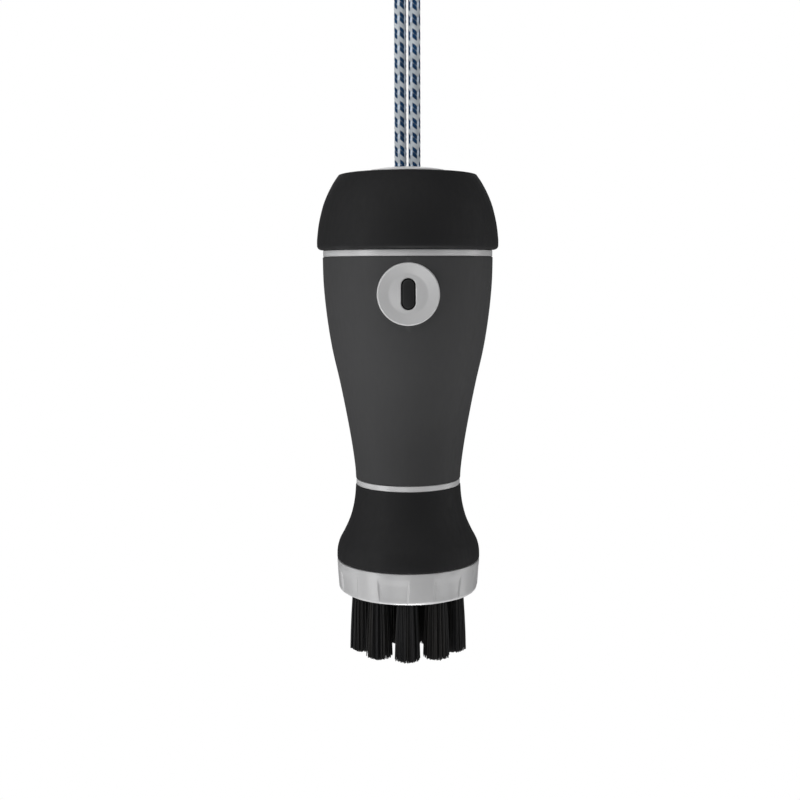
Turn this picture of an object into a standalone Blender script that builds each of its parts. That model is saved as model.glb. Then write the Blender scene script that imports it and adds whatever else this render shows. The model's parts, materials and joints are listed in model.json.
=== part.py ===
"""Club groove brush: a refillable water brush that hangs, bristles down, from a doubled cord and a snap hook.

Metres, +Z up, front towards -Y. The origin is on the flat seat inside the top of the snap hook, where the
brush hangs. Sizes below are in millimetres and are turned into metres by MM. Along the handle they are given
as a depth below a datum just over the cap, because every turned piece is stacked under it.
"""

import math

import bmesh
import bpy
from mathutils import Matrix, Vector

MM = 0.001
GAP = 0.3  # between neighbouring pieces
DATUM_DROP = 102.0  # from the hook's seat down to the datum just over the cap

SIDES = 28  # facets round a large turned piece
SMALL_SIDES = 16

# Outer silhouettes, as (radius, depth) points
CAP_CURVE = [(16.0, 1.5), (16.85, 1.68), (17.2, 2.0), (18.5, 3.95), (19.96, 6.8), (21.04, 9.7), (21.96, 13.6),
             (22.41, 17.2), (22.45, 18.6)]
SLEEVE_CURVE = [(21.07, 21.65), (20.9, 28.3), (20.15, 36.2), (18.9, 44.3), (17.1, 52.4), (15.5, 60.5),
                (14.2, 68.0), (13.4, 74.0), (13.2, 77.1)]
COLLAR_CURVE = [(13.25, 78.6), (13.45, 81.4), (13.95, 84.5), (14.85, 87.6), (16.2, 90.6), (17.45, 93.0),
                (18.03, 95.2), (18.12, 97.35)]

# Cap and neck
DOME_CREST, DOME_RISE, DOME_RADIUS = 0.71, 0.79, 16.0
CAP_BOTTOM = 19.95
CAP_BORE = 18.9
CORE_RADIUS, CORE_BORE, CORE_TOP, CORE_BOTTOM = 18.5, 17.1, 9.0, 19.6
NECK_RADIUS, NECK_BORE, NECK_RIM = 15.6, 13.6, 12.3
NECK_PITCH, CORE_THREAD_DEPTH = 3.2, 18.2
NECK_CREST, CORE_CREST = 16.8, 15.95

# Cord and its grommet
CORD_DIAMETER = 3.0
STRAND_X = 1.72  # half the distance between the two strands
CORD_END = 3.8  # depth of the cord's ends, at the knot
LOOP_RADIUS = 6.0  # of the cord over the hook
LOOP_NARROWS = 17.5  # height over which the strands come together below it
KNOT_SIZE, KNOT_DEPTH = (4.4, 3.4, 2.2), 6.35
GROMMET_RADIUS = 9.6
GROMMET_CREST, GROMMET_EDGE, GROMMET_SEAT = -0.3, 0.6, 1.15

# Body
SLEEVE_WALL, TANK_GAP, TANK_WALL = 1.5, 0.4, 1.5
TANK_BOTTOM = 76.9
OUTLET_RADIUS, OUTLET_BORE, OUTLET_END = 5.0, 3.4, 88.0
TRIM_RADIUS, TRIM_TOP, TRIM_BOTTOM, TRIM_LIP = 20.97, 20.15, 21.45, 22.0
WAIST_RADIUS, WAIST_TOP, WAIST_BOTTOM = 13.1, 77.3, 78.4

# Button, on an axis along Y at this depth
BUTTON_DEPTH = 30.4
PORT_RADIUS, PORT_FRONT, PORT_BACK = 7.65, -26.0, -11.0
BEZEL_RADIUS, BEZEL_FACE = 7.33, -21.25
DISH_RADIUS, DISH_DEPTH = 4.62, 0.55
SLOT_WIDTH, SLOT_HEIGHT = 3.4, 7.35
PILL_WIDTH, PILL_HEIGHT, PILL_FACE = 2.8, 6.75, -21.0
STEM_RADIUS = 1.2
SPRING_RADIUS, SPRING_WIRE, SPRING_TURNS = 3.6, 0.3, 3.5
SPRING_FRONT, SPRING_BACK = -17.9, -14.2

# Brush head
GRIP_RADIUS, GRIP_TOP, GRIP_BOTTOM = 18.1, 97.7, 105.65
SPIGOT_RADIUS, SPIGOT_END = 14.9, 100.6
SPIGOT_CREST, GRIP_CREST, GRIP_BORE = 15.9, 15.2, 16.2
HEAD_PITCH, HEAD_THREAD_DEPTH = 1.8, 100.0
PLATE_TOP, PLATE_FACE, PLATE_BOSS = 101.9, 105.0, 14.95
HOLE_RADIUS, HOLE_TOP = 2.55, 102.7
DRAIN_RADIUS, DRAIN_RING = 0.7, 7.9
OUTER_TUFTS, OUTER_RING, OUTER_TIP, OUTER_TIP_RADIUS = 10, 12.05, 121.4, 3.3
INNER_TUFTS, INNER_RING, INNER_TIP, INNER_TIP_RADIUS = 5, 4.8, 120.1, 2.85
TUFT_ROOT, TUFT_ROOT_RADIUS = 103.0, 2.3
RECESSES, RECESS_DEPTH, RECESS_TOP, RECESS_CENTRE = 8, 0.35, 99.0, -12.3
RECESS_HALF_TOP, RECESS_HALF_BOTTOM = 13.2, 11.5  # half widths in degrees

# Snap hook, a flat plate in the YZ plane
HOOK_THICKNESS = 3.6
HOOK_INNER, HOOK_OUTER = 8.0, 12.0  # radii of its round ends
HOOK_SPAN = 20.0  # between the centres of the round ends
SEAT_HALF = 2.5  # half the flat seat's length
UPPER_CENTRE = -math.sqrt(HOOK_INNER**2 - SEAT_HALF**2)  # z of the round ends' centres
LOWER_CENTRE = UPPER_CENTRE - HOOK_SPAN
NOSE_Z, TAIL_Z = -9.9, -24.6
LIP_WALL, LIP_DROP = 0.9, 2.0  # of the notch that the gate rests in
GATE_TOP, PIVOT_DEPTH, GATE_Y = 11.2, 28.4, -10.0
WIRE_RADIUS, WIRE_BEND = 0.8, 1.1

# Colours (linear), roughness, metallic
FINISHES = {
    "cap_black": ((0.021, 0.021, 0.023), 0.62, 0.0),
    "sleeve_grey": ((0.058, 0.058, 0.060), 0.58, 0.0),
    "trim_grey": ((0.45, 0.45, 0.45), 0.42, 0.0),
    "button_dark": ((0.018, 0.018, 0.02), 0.5, 0.0),
    "bristle": ((0.010, 0.010, 0.011), 0.55, 0.0),
    "cord": ((0.40, 0.43, 0.47), 0.85, 0.0),
    "tank_clear": ((0.62, 0.66, 0.68), 0.35, 0.0),
    "seal_rubber": ((0.03, 0.03, 0.03), 0.7, 0.0),
    "silicone": ((0.60, 0.62, 0.62), 0.5, 0.0),
    "steel": ((0.55, 0.55, 0.56), 0.3, 1.0),
    "hook_metal": ((0.60, 0.61, 0.63), 0.35, 1.0),
}


def clear_scene():
    for obj in list(bpy.data.objects):
        bpy.data.objects.remove(obj, do_unlink=True)


def new_collection(name):
    collection = bpy.data.collections.new(name)
    bpy.context.scene.collection.children.link(collection)
    return collection


def make_material(name):
    colour, roughness, metallic = FINISHES[name]
    material = bpy.data.materials.new(name)
    material.use_nodes = True
    shader = material.node_tree.nodes["Principled BSDF"]
    shader.inputs["Base Color"].default_value = (*colour, 1.0)
    shader.inputs["Roughness"].default_value = roughness
    shader.inputs["Metallic"].default_value = metallic
    material.diffuse_color = (*colour, 1.0)
    return material


clear_scene()
PARTS = new_collection("club_groove_brush")
CUTTERS = new_collection("cutters")
MATERIALS = {name: make_material(name) for name in FINISHES}


def height(depth):
    """World Z in metres of a depth in millimetres."""
    return -(DATUM_DROP + depth) * MM


def add_object(name, mesh, finish=None):
    """A part of that finish or, with no finish, a hidden cutter."""
    obj = bpy.data.objects.new(name, mesh)
    if finish is None:
        CUTTERS.objects.link(obj)
        obj.hide_render = True
        obj.display_type = "WIRE"
        return obj
    PARTS.objects.link(obj)
    mesh.materials.append(MATERIALS[finish])
    return obj


def finish_mesh(name, bm, finish, smooth_angle=35):
    mesh = bpy.data.meshes.new(name)
    bm.to_mesh(mesh)
    bm.free()
    mesh.shade_smooth()
    mesh.set_sharp_from_angle(angle=math.radians(smooth_angle))
    return add_object(name, mesh, finish)


# ---------------------------------------------------------------- outlines

def radius_at(curve, depth):
    """Radius of a silhouette curve at a depth, between its points."""
    for (r0, d0), (r1, d1) in zip(curve, curve[1:]):
        if d0 <= depth <= d1:
            return r0 + (r1 - r0) * (depth - d0) / (d1 - d0)
    return curve[0][0] if depth < curve[0][1] else curve[-1][0]


def arc(centre, radius, start, end, steps):
    """Points of an arc, angles in degrees from +radius towards +depth."""
    angles = [math.radians(start + (end - start) * i / steps) for i in range(steps + 1)]
    return [(centre[0] + radius * math.cos(a), centre[1] + radius * math.sin(a)) for a in angles]


def turned(name, outline, finish=None, sides=SIDES):
    """A turned piece. The outline runs down the outer side and back up the inner one, or ends on the axis."""
    mesh = bpy.data.meshes.new(name)
    points = [(r * MM, 0.0, height(d)) for r, d in outline]
    open_on_axis = outline[0][0] == 0 and outline[-1][0] == 0
    edges = [(i, i + 1) for i in range(len(points) - 1)]
    if not open_on_axis:
        edges.append((len(points) - 1, 0))
    mesh.from_pydata(points, edges, [])
    obj = add_object(name, mesh, finish)
    screw = obj.modifiers.new("Screw", "SCREW")
    screw.axis = "Z"
    screw.steps = screw.render_steps = sides
    screw.use_merge_vertices = True
    screw.merge_threshold = 1e-5
    screw.use_smooth_shade = True
    return obj


# ---------------------------------------------------------------- solids

def cylinder(name, radius, start, end, finish=None, sides=SMALL_SIDES, axis="Z", centre=(0.0, 0.0),
             tip=None):
    """A cylinder or cone. Along Z, start and end are depths and centre is (x, y). Along Y, start and end are
    Y coordinates and centre is (x, depth); along X, X coordinates and centre is (y, depth)."""
    bm = bmesh.new()
    tip = radius if tip is None else tip
    bmesh.ops.create_cone(bm, cap_ends=True, segments=sides, radius1=radius * MM, radius2=tip * MM,
                          depth=abs(end - start) * MM)
    middle = (start + end) / 2
    if axis == "Z":
        turn = Matrix.Rotation(math.pi, 4, "X")
        place = Vector((centre[0] * MM, centre[1] * MM, height(middle)))
    elif axis == "Y":
        turn = Matrix.Rotation(-math.pi / 2, 4, "X")
        place = Vector((centre[0] * MM, middle * MM, height(centre[1])))
    else:
        turn = Matrix.Rotation(math.pi / 2, 4, "Y")
        place = Vector((middle * MM, centre[0] * MM, -centre[1] * MM))
    bmesh.ops.transform(bm, matrix=Matrix.Translation(place) @ turn, verts=bm.verts)
    bmesh.ops.recalc_face_normals(bm, faces=bm.faces)
    return finish_mesh(name, bm, finish)


def prism(name, outline, vector, finish=None):
    """A flat outline of world points in metres, pushed along a vector."""
    bm = bmesh.new()
    face = bm.faces.new([bm.verts.new(p) for p in outline])
    made = bmesh.ops.extrude_face_region(bm, geom=[face])
    moved = [v for v in made["geom"] if isinstance(v, bmesh.types.BMVert)]
    bmesh.ops.translate(bm, vec=vector, verts=moved)
    bmesh.ops.recalc_face_normals(bm, faces=bm.faces)
    return finish_mesh(name, bm, finish)


def stadium(width, length, steps=8):
    """Points of a pill shape, round ends up and down, as (across, along)."""
    radius, straight = width / 2, (length - width) / 2
    top = [(radius * math.cos(math.pi * i / steps), straight + radius * math.sin(math.pi * i / steps))
           for i in range(steps + 1)]
    return top + [(-x, -y) for x, y in top]


def helix_ridge(name, root, crest, depth, pitch, first, last, base_width, crest_width):
    """A right-hand thread ridge from root to crest radius, tapering away at both ends. It passes the +X side
    at this depth, and runs upwards from its first to its last turn, counted from there."""
    bm = bmesh.new()
    steps = round(SIDES * (last - first))
    taper = SIDES // 6
    rings = []
    for i in range(steps + 1):
        turn = first + (last - first) * i / steps
        angle = 2 * math.pi * turn
        outer = root + (crest - root) * min(1.0, (i + 0.35) / taper, (steps - i + 0.35) / taper)
        middle = depth - pitch * turn
        corners = [(root, base_width), (outer, crest_width), (outer, -crest_width), (root, -base_width)]
        rings.append([bm.verts.new((r * MM * math.cos(angle), r * MM * math.sin(angle),
                                    height(middle + w / 2))) for r, w in corners])
    for a, b in zip(rings, rings[1:]):
        for k in range(4):
            bm.faces.new((a[k], b[k], b[(k + 1) % 4], a[(k + 1) % 4]))
    bm.faces.new(rings[0])
    bm.faces.new(reversed(rings[-1]))
    bmesh.ops.recalc_face_normals(bm, faces=bm.faces)
    return finish_mesh(name, bm, None)


def wire(name, points, radius, finish, resolution=2):
    """A round wire or cord along points in metres."""
    curve = bpy.data.curves.new(name, "CURVE")
    curve.dimensions = "3D"
    curve.bevel_depth = radius * MM
    curve.bevel_resolution = resolution
    curve.use_fill_caps = True
    spline = curve.splines.new("POLY")
    spline.points.add(len(points) - 1)
    for target, point in zip(spline.points, points):
        target.co = (*point, 1.0)
    return add_object(name, curve, finish)


def combine(obj, other, operation):
    modifier = obj.modifiers.new(f"{operation.lower()}_{other.name}", "BOOLEAN")
    modifier.operation = operation
    modifier.solver = "EXACT"
    modifier.object = other
    return obj


def joined_cylinders(name, places, radius, start, end, sides, axis="Z"):
    """Separate equal cylinders in one mesh, as a cutter for a pattern of holes."""
    bm = bmesh.new()
    for place in places:
        one = cylinder(name + "_one", radius, start, end, sides=sides, axis=axis, centre=place)
        bm.from_mesh(one.data)
        bpy.data.objects.remove(one, do_unlink=True)
    return finish_mesh(name, bm, None)


def around(count, radius, first=-90.0):
    """Places on a circle, the first at an angle in degrees from +X; -90 is the front."""
    angles = [math.radians(first + 360 * i / count) for i in range(count)]
    return [(radius * math.cos(a), radius * math.sin(a)) for a in angles]


# ---------------------------------------------------------------- hook and cord

def hook_outline():
    """The snap hook's C shape as (y, z) in mm: outside round from the nose, then back along the inside."""
    steps = 12
    angles = [math.pi * i / steps for i in range(steps + 1)]
    outside = [(-HOOK_OUTER, NOSE_Z - LIP_DROP)]
    outside += [(-HOOK_OUTER * math.cos(a), UPPER_CENTRE + HOOK_OUTER * math.sin(a)) for a in angles]
    outside += [(HOOK_OUTER * math.cos(a), LOWER_CENTRE - HOOK_OUTER * math.sin(a)) for a in angles]
    outside += [(-HOOK_OUTER, TAIL_Z)]
    inside = [(-HOOK_INNER, TAIL_Z)]
    inside += [(-HOOK_INNER * math.cos(a), LOWER_CENTRE - HOOK_INNER * math.sin(a)) for a in angles]
    seat = math.acos(SEAT_HALF / HOOK_INNER)
    right = [seat * i / 5 for i in range(6)]
    inside += [(HOOK_INNER * math.cos(a), UPPER_CENTRE + HOOK_INNER * math.sin(a)) for a in right]
    inside += [(-HOOK_INNER * math.cos(a), UPPER_CENTRE + HOOK_INNER * math.sin(a)) for a in reversed(right)]
    lip = [(-HOOK_INNER, NOSE_Z), (LIP_WALL - HOOK_OUTER, NOSE_Z), (LIP_WALL - HOOK_OUTER, NOSE_Z - LIP_DROP)]
    return outside + inside + lip


def make_hook():
    half = HOOK_THICKNESS / 2 * MM
    outline = [(-half, y * MM, z * MM) for y, z in hook_outline()]
    hook = prism("snap_hook", outline, (2 * half, 0.0, 0.0), "hook_metal")
    pivot = cylinder("pivot_hole", WIRE_RADIUS + 0.25, -6.0, 6.0, axis="X", sides=12,
                     centre=(GATE_Y, PIVOT_DEPTH))
    combine(hook, pivot, "DIFFERENCE")


def make_gate():
    """A wire loop whose ends turn into the pivot hole from both sides, with its bar in the nose's notch."""
    leg = HOOK_THICKNESS / 2 + WIRE_RADIUS + GAP
    cut = 0.3 * WIRE_BEND  # how far the corner is cut back at the middle of a bend
    half = [(0.45, -PIVOT_DEPTH), (leg - WIRE_BEND, -PIVOT_DEPTH), (leg - cut, cut - PIVOT_DEPTH),
            (leg, WIRE_BEND - PIVOT_DEPTH), (leg, -GATE_TOP - WIRE_BEND), (leg - cut, -GATE_TOP - cut),
            (leg - WIRE_BEND, -GATE_TOP)]
    path = half + [(-x, z) for x, z in reversed(half)]
    wire("wire_gate", [(x * MM, GATE_Y * MM, z * MM) for x, z in path], WIRE_RADIUS, "steel")


def cord_route():
    """Points of the doubled cord in metres: up from the knot, over the hook's lower bow and down again."""
    crest = LOWER_CENTRE - HOOK_INNER + GAP + CORD_DIAMETER / 2
    middle = crest - LOOP_RADIUS
    parallel = middle - LOOP_NARROWS  # the strands run side by side below this height
    end = -(DATUM_DROP + CORD_END)
    side = []
    for i in range(8):
        side.append((-STRAND_X, end + (parallel - end) * i / 8))
    for i in range(9):
        t = i / 8
        ease = t * t * (3 - 2 * t)
        side.append((-STRAND_X - (LOOP_RADIUS - STRAND_X) * ease, parallel + (middle - parallel) * t))
    for i in range(1, 7):
        a = math.radians(15 * i)
        side.append((-LOOP_RADIUS * math.cos(a), middle + LOOP_RADIUS * math.sin(a)))
    other = [(-x, z) for x, z in reversed(side[:-1])]
    return [(x * MM, 0.0, z * MM) for x, z in side + other]


def make_cord():
    wire("cord_loop", cord_route(), CORD_DIAMETER / 2, "cord")
    bm = bmesh.new()
    bmesh.ops.create_uvsphere(bm, u_segments=16, v_segments=10, radius=1.0)
    size = Matrix.Diagonal((*(half * MM for half in KNOT_SIZE), 1.0))
    bmesh.ops.transform(bm, matrix=Matrix.Translation((0.0, 0.0, height(KNOT_DEPTH))) @ size, verts=bm.verts)
    finish_mesh("cord_knot", bm, "cord")


# ---------------------------------------------------------------- cap

def dome_depth(radius):
    return DOME_CREST + DOME_RISE * (radius / DOME_RADIUS)**2


def make_cap():
    recess = GROMMET_RADIUS + GAP
    floor = GROMMET_SEAT + GAP
    outline = [(6.5, floor), (recess, floor), (recess, dome_depth(recess)), (13.0, dome_depth(13.0))]
    outline += CAP_CURVE + arc((21.35, 18.85), 1.1, 10, 80, 3)
    outline += [(20.8, CAP_BOTTOM), (CAP_BORE, CAP_BOTTOM), (CAP_BORE, 8.4), (17.6, 5.4), (15.4, 2.9),
                (6.5, 2.9)]
    turned("cap_shell", outline, "cap_black")

    core = turned("cap_core", [(0, CORE_TOP), (CORE_RADIUS, CORE_TOP), (CORE_RADIUS, CORE_BOTTOM),
                               (CORE_BORE, CORE_BOTTOM), (CORE_BORE, CORE_TOP + 1.5), (0, CORE_TOP + 1.5)],
                  "tank_clear")
    ridge = helix_ridge("core_thread", CORE_BORE + 0.4, CORE_CREST, CORE_THREAD_DEPTH, NECK_PITCH,
                        0.0, 1.5, 1.5, 0.8)
    combine(core, ridge, "UNION")
    turned("neck_gasket", [(NECK_RADIUS - 0.1, 10.8), (NECK_RADIUS - 0.1, 12.0), (NECK_BORE + 0.2, 12.0),
                           (NECK_BORE + 0.2, 10.8)], "seal_rubber")


def make_grommet():
    outline = [(2.0, GROMMET_CREST), (5.0, GROMMET_CREST + 0.2), (7.6, GROMMET_CREST + 0.55),
               (GROMMET_RADIUS, GROMMET_EDGE), (GROMMET_RADIUS, GROMMET_SEAT), (6.2, GROMMET_SEAT),
               (6.2, 3.5), (2.0, 3.5)]
    grommet = turned("cord_grommet", outline, "trim_grey")
    length, width = 2 * (STRAND_X + CORD_DIAMETER / 2 + GAP), CORD_DIAMETER + 2 * GAP
    slot_outline = [(y * MM, x * MM, height(5.0)) for x, y in stadium(width, length)]
    combine(grommet, prism("cord_slot", slot_outline, (0, 0, 8 * MM)), "DIFFERENCE")


# ---------------------------------------------------------------- body

def tank_radius(depth):
    return radius_at(SLEEVE_CURVE, depth) - SLEEVE_WALL - TANK_GAP


def make_body():
    bore = cylinder("button_bore", PORT_RADIUS, PORT_FRONT, PORT_BACK, axis="Y", sides=SIDES,
                    centre=(0.0, BUTTON_DEPTH))

    wall = [(r - SLEEVE_WALL, d) for r, d in reversed(SLEEVE_CURVE)]
    sleeve = turned("body_sleeve", SLEEVE_CURVE + wall, "sleeve_grey")
    combine(sleeve, bore, "DIFFERENCE")

    stations = [24.5, 36.2, 44.3, 52.4, 60.5, 74.5]
    outside = [(NECK_RADIUS, NECK_RIM), (NECK_RADIUS, 21.75), (18.4, 21.75), (19.1, 22.6)]
    outside += [(tank_radius(d), d) for d in stations]
    outside += [(11.0, TANK_BOTTOM), (OUTLET_RADIUS, TANK_BOTTOM), (OUTLET_RADIUS, OUTLET_END)]
    inside = [(OUTLET_BORE, OUTLET_END), (OUTLET_BORE, TANK_BOTTOM - 1.5), (9.6, TANK_BOTTOM - 1.7)]
    inside += [(tank_radius(d) - TANK_WALL, d) for d in reversed(stations)]
    inside += [(NECK_BORE, 22.4), (NECK_BORE, NECK_RIM)]
    tank = turned("reservoir", outside + inside, "tank_clear")

    envelope = turned("tank_envelope", [(0, 22.6), *outside[3:-2], (0, TANK_BOTTOM)])
    boss = cylinder("port_boss", PORT_RADIUS + 1.6, -20.5, -12.2, axis="Y", sides=SIDES,
                    centre=(0.0, BUTTON_DEPTH))
    combine(boss, envelope, "INTERSECT")
    ridge = helix_ridge("neck_thread", NECK_RADIUS - 0.4, NECK_CREST, CORE_THREAD_DEPTH + NECK_PITCH / 2,
                        NECK_PITCH, 0.4, 1.9, 1.5, 0.8)
    combine(tank, boss, "UNION")
    combine(tank, bore, "DIFFERENCE")
    combine(tank, ridge, "UNION")

    lip = SLEEVE_CURVE[0][0] - SLEEVE_WALL - GAP
    turned("upper_trim_ring", [(NECK_RADIUS + 0.4, TRIM_TOP), (TRIM_RADIUS - 0.2, TRIM_TOP),
                               (TRIM_RADIUS, TRIM_TOP + 0.2), (TRIM_RADIUS, TRIM_BOTTOM), (lip, TRIM_BOTTOM),
                               (lip, TRIM_LIP), (lip - 0.4, TRIM_LIP), (lip - 0.4, TRIM_BOTTOM),
                               (NECK_RADIUS + 0.4, TRIM_BOTTOM)], "trim_grey")
    bore_radius = OUTLET_RADIUS + GAP
    turned("waist_ring", [(bore_radius, WAIST_TOP), (WAIST_RADIUS - 0.15, WAIST_TOP),
                          (WAIST_RADIUS, WAIST_TOP + 0.15), (WAIST_RADIUS, WAIST_BOTTOM - 0.15),
                          (WAIST_RADIUS - 0.15, WAIST_BOTTOM), (bore_radius, WAIST_BOTTOM)], "trim_grey")


def make_outlet():
    nut = cylinder("outlet_nut", 8.4, 80.5, 84.3, "tank_clear", sides=6)
    hole = cylinder("nut_hole", OUTLET_RADIUS + GAP, 79.0, 86.0)
    combine(nut, hole, "DIFFERENCE")
    turned("outlet_valve", [(0, 90.4), (1.9, 90.1), (2.9, 89.2), (4.7, 89.2), (4.7, 88.3), (2.3, 88.3),
                            (1.3, 89.4), (0, 89.6)][::-1], "silicone", SMALL_SIDES)
    turned("valve_retainer", [(OUTLET_RADIUS + GAP, 85.5), (6.6, 85.5), (6.9, 85.8), (6.9, 90.2),
                              (6.6, 90.5), (3.5, 90.5), (3.5, 89.5), (OUTLET_RADIUS + GAP, 89.5)],
           "tank_clear", SMALL_SIDES)


# ---------------------------------------------------------------- button

def across(name, outline, finish, sides=24):
    """A piece turned about the button's axis. The outline is (radius, y); it runs front to back outside."""
    obj = turned(name, outline, finish, sides)
    for vertex in obj.data.vertices:
        vertex.co.z += DATUM_DROP * MM
    obj.matrix_world = Matrix.Translation((0, 0, height(BUTTON_DEPTH))) @ Matrix.Rotation(math.pi / 2, 4, "X")
    return obj


def pill(name, width, length, front, back):
    points = [(x * MM, front * MM, z * MM + height(BUTTON_DEPTH)) for x, z in stadium(width, length)]
    return prism(name, points, (0, (back - front) * MM, 0))


def make_button():
    bezel = across("button_bezel", [
        (1.0, BEZEL_FACE + 0.15), (1.9, BEZEL_FACE + 0.2), (DISH_RADIUS, BEZEL_FACE + DISH_DEPTH),
        (BEZEL_RADIUS - 0.3, BEZEL_FACE), (BEZEL_RADIUS, BEZEL_FACE + 0.3), (BEZEL_RADIUS, -17.6),
        (6.2, -17.6), (6.2, -19.9), (1.0, -19.9)], "trim_grey")
    combine(bezel, pill("bezel_slot", SLOT_WIDTH, SLOT_HEIGHT, -23.0, -18.0), "DIFFERENCE")

    button = across("button", [(0, -19.6), (5.2, -19.6), (5.2, -18.6), (2.3, -18.6), (2.3, -17.1),
                               (STEM_RADIUS + GAP, -17.1), (STEM_RADIUS + GAP, -18.7), (0, -18.7)],
                    "button_dark")
    combine(button, pill("button_pill", PILL_WIDTH, PILL_HEIGHT, PILL_FACE, -19.0), "UNION")
    cylinder("button_stem", STEM_RADIUS, -18.4, -9.4, "steel", sides=12, axis="Y",
             centre=(0.0, BUTTON_DEPTH))
    hole = STEM_RADIUS + 0.25
    across("stem_clip", [(hole, -10.4), (2.6, -10.4), (2.6, -9.8), (hole, -9.8)], "steel", 16)
    across("vent_disc", [(hole, -11.7), (4.3, -11.7), (4.3, -10.7), (hole, -10.7)], "seal_rubber", 20)

    body = across("valve_body", [(5.7, -17.3), (7.35, -17.3), (7.35, -12.0), (1.5, -12.0), (1.5, -12.5),
                                 (2.7, -12.5), (2.7, -13.5), (5.7, -13.5)], "tank_clear")
    vents = joined_cylinders("vent_holes", [(x, y + BUTTON_DEPTH) for x, y in around(4, 3.4, 45.0)], 0.5,
                             -14.5, -11.0, 8, "Y")
    combine(body, vents, "DIFFERENCE")
    across("stem_seal", arc((2.0, -13.0), 0.42, 0, 315, 7), "seal_rubber", 16)

    per_turn = 12
    count = int(SPRING_TURNS * per_turn)
    coil = []
    for i in range(count + 1):
        angle = 2 * math.pi * i / per_turn
        y = SPRING_FRONT + (SPRING_BACK - SPRING_FRONT) * i / count
        coil.append((SPRING_RADIUS * MM * math.cos(angle), y * MM,
                     height(BUTTON_DEPTH) + SPRING_RADIUS * MM * math.sin(angle)))
    wire("button_spring", coil, SPRING_WIRE, "steel", 1)


# ---------------------------------------------------------------- brush head

def make_collar():
    outline = COLLAR_CURVE + [(17.9, 97.5), (SPIGOT_RADIUS, 97.5), (SPIGOT_RADIUS, SPIGOT_END)]
    outline += [(13.2, SPIGOT_END), (13.2, 97.6), (15.4, 94.0), (13.5, 89.5), (12.2, 85.5), (11.5, 80.2),
                (OUTLET_RADIUS + GAP, 80.2), (OUTLET_RADIUS + GAP, 78.6)]
    collar = turned("collar", outline, "cap_black")
    ridge = helix_ridge("spigot_thread", SPIGOT_RADIUS - 0.4, SPIGOT_CREST, HEAD_THREAD_DEPTH, HEAD_PITCH,
                        0.0, 1.0, 0.8, 0.4)
    combine(collar, ridge, "UNION")


def recess_cutters():
    """Shallow finger recesses, cut by boxes that lean so that each recess narrows downwards."""
    bm = bmesh.new()
    inner, outer, steps = GRIP_RADIUS - RECESS_DEPTH, GRIP_RADIUS + 2, 4
    half_top, half_bottom = math.radians(RECESS_HALF_TOP), math.radians(RECESS_HALF_BOTTOM)
    for i in range(RECESSES):
        centre = math.radians(RECESS_CENTRE - 90 + 360 * i / RECESSES)
        rows = []
        for depth, half, lift in ((RECESS_TOP, half_top, 0.0), (GRIP_BOTTOM + 1, half_bottom, 0.35)):
            for radius in (inner - lift, outer):
                rows.append([bm.verts.new((radius * MM * math.cos(centre + half * (2 * k / steps - 1)),
                                           radius * MM * math.sin(centre + half * (2 * k / steps - 1)),
                                           height(depth))) for k in range(steps + 1)])
        top_in, top_out, low_in, low_out = rows
        for a, b in ((top_in, low_in), (top_out, top_in), (low_in, low_out), (low_out, top_out)):
            for k in range(len(a) - 1):
                bm.faces.new((a[k], a[k + 1], b[k + 1], b[k]))
        bm.faces.new((top_in[0], low_in[0], low_out[0], top_out[0]))
        bm.faces.new((top_in[-1], top_out[-1], low_out[-1], low_in[-1]))
    bmesh.ops.recalc_face_normals(bm, faces=bm.faces)
    return finish_mesh("finger_recesses", bm, None)


def make_grip_ring():
    outline = [(GRIP_BORE, GRIP_TOP), (GRIP_RADIUS - 0.2, GRIP_TOP), (GRIP_RADIUS, GRIP_TOP + 0.2),
               (17.93, 101.5), (17.7, 104.5)]
    outline += arc((16.5, 104.45), 1.2, 15, 90, 4)
    outline += [(15.6, GRIP_BOTTOM), (15.25, 105.3), (15.25, 104.0), (GRIP_BORE, 104.0)]
    ring = turned("grip_ring", outline, "trim_grey")
    ridge = helix_ridge("grip_thread", GRIP_BORE + 0.4, GRIP_CREST, HEAD_THREAD_DEPTH + HEAD_PITCH / 2,
                        HEAD_PITCH, 0.0, 1.1, 0.8, 0.4)
    combine(ring, recess_cutters(), "DIFFERENCE")
    combine(ring, ridge, "UNION")


def make_brush_head():
    turned("head_gasket", [(12.9, 100.9), (14.8, 100.9), (14.8, 101.6), (12.9, 101.6)], "seal_rubber")
    plate = turned("brush_plate", [(0, PLATE_TOP), (15.9, PLATE_TOP), (15.9, 103.7), (PLATE_BOSS, 103.7),
                                   (PLATE_BOSS, PLATE_FACE), (0, PLATE_FACE)], "cap_black")
    outer, inner = around(OUTER_TUFTS, OUTER_RING), around(INNER_TUFTS, INNER_RING)
    holes = joined_cylinders("tuft_holes", outer + inner, HOLE_RADIUS, HOLE_TOP, PLATE_FACE + 1.0, 14)
    drains = [(0.0, 0.0)] + around(INNER_TUFTS, DRAIN_RING, -54.0)
    water = joined_cylinders("water_holes", drains, DRAIN_RADIUS, PLATE_TOP - 1, PLATE_FACE + 1, 8)
    combine(plate, holes, "DIFFERENCE")
    combine(plate, water, "DIFFERENCE")
    tips = [(place, OUTER_TIP, OUTER_TIP_RADIUS) for place in outer]
    tips += [(place, INNER_TIP, INNER_TIP_RADIUS) for place in inner]
    for number, (place, tip, radius) in enumerate(tips, 1):
        cylinder(f"tuft_{number:02d}", TUFT_ROOT_RADIUS, TUFT_ROOT, tip, "bristle", sides=10, centre=place,
                 tip=radius)


make_hook()
make_gate()
make_cord()
make_cap()
make_grommet()
make_body()
make_outlet()
make_button()
make_collar()
make_grip_ring()
make_brush_head()
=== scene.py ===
"""Looks of the club groove brush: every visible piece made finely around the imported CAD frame.

Metres, +Z up, front towards -Y. Sizes are in millimetres and are turned into metres by MM. Along the handle
they are depths below a datum just over the cap, as in the CAD model.
"""
import json
import math

import bmesh
import bpy
import numpy as np
from mathutils import Matrix, Vector


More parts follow.
